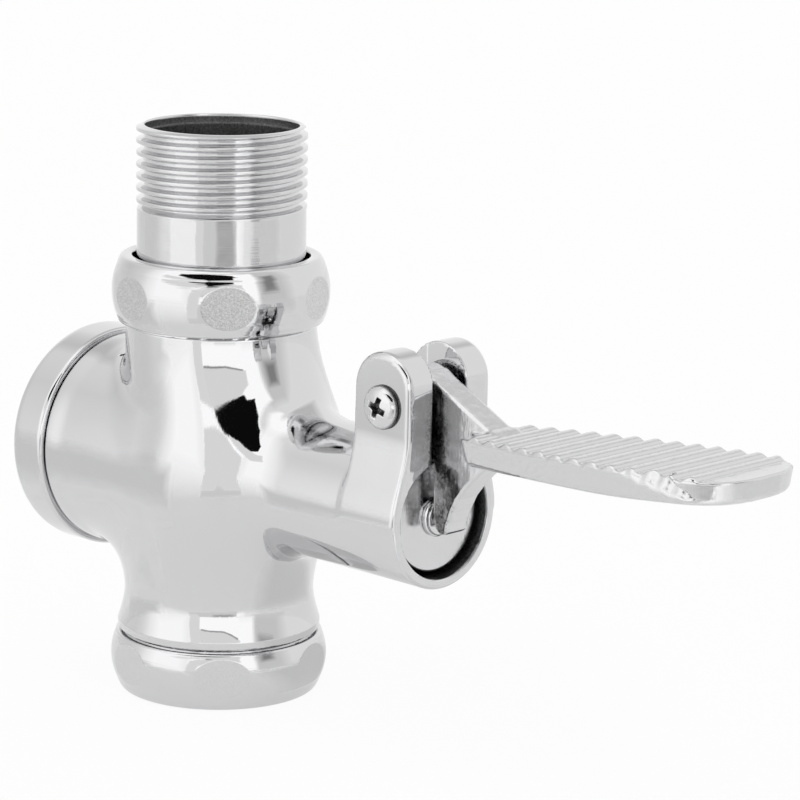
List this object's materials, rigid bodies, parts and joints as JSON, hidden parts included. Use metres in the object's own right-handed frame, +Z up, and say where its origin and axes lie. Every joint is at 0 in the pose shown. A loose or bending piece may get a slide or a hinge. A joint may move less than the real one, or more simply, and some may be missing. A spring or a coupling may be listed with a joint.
{
  "type": "foot pedal flush valve",
  "caption": "Chromed piston flush valve with a ribbed foot pedal on a hinge, a threaded inlet nipple on top and a flush pipe socket below.",
  "frame": {"origin": "on the flow axis, at the bottom face of the outlet nut, where the flush pipe goes in", "axes": "+Z up the flow axis to the inlet, +X along the barrel to the pedal, +Y across"},
  "size_m": [0.1737, 0.0446, 0.112],
  "materials": {
    "chromed_brass": "polished chrome plate on cast and turned brass",
    "chromed_zinc": "chrome plate on a zinc casting, less polished",
    "chromed_steel": "chrome plated steel screw",
    "brass": "turned",
    "steel": "stainless, drawn and turned",
    "rubber": "black moulded rubber"
  },
  "bodies": {
    "valve": {"valve_body": "chromed_brass", "inlet_nipple": "chromed_brass", "inlet_union_nut": "chromed_brass", "inlet_gasket": "rubber", "outlet_nut": "chromed_brass", "outlet_slip_ring": "brass", "outlet_cone_seal": "rubber", "rear_cap": "chromed_brass", "rear_cap_gasket": "rubber", "seat_ring": "brass", "guide_bush": "brass", "rod_seal_ring": "rubber", "bush_seal_ring": "rubber", "return_spring": "steel", "piston_spring": "steel", "pivot_screw": "chromed_steel"},
    "pedal": {"pedal": "chromed_zinc"},
    "plunger": {"push_rod": "steel", "plunger_cap": "chromed_brass", "plunger_button": "chromed_brass", "rod_stop_clip": "steel"},
    "piston": {"piston": "brass", "seat_washer": "rubber", "piston_cup": "rubber", "cup_retainer": "brass", "piston_screws": "steel", "relief_plug": "brass", "relief_spring": "steel"},
    "relief_pin": {"relief_pin": "steel", "relief_seal": "rubber"}
  },
  "joints": [
    {"name": "pedal_hinge", "type": "hinge", "parent": "valve", "child": "pedal", "pos_m": [0.0551, 0, 0.067], "axis": [0, 1, 0], "range_deg": [0, 18], "stiffness_Nm_per_rad": 0.75, "springref_deg": -20.63, "deforming": ["return_spring"]},
    {"name": "plunger_slide", "type": "slide", "parent": "valve", "child": "plunger", "axis": [-1, 0, 0], "range_m": [0, 0.0074]},
    {"name": "piston_slide", "type": "slide", "parent": "valve", "child": "piston", "axis": [-1, 0, 0], "range_m": [0, 0.0055], "deforming": ["piston_spring"]},
    {"name": "relief_slide", "type": "slide", "parent": "piston", "child": "relief_pin", "axis": [-1, 0, 0], "range_m": [0, 0.0019], "deforming": ["relief_spring"]}
  ],
  "couplings": [
    {"joint": "plunger_slide", "follows": "pedal_hinge", "m_per_rad": 0.023},
    {"joint": "piston_slide", "follows": "pedal_hinge", "m_per_rad": 0.0172},
    {"joint": "relief_slide", "follows": "pedal_hinge", "m_per_rad": 0.0058}
  ]
}
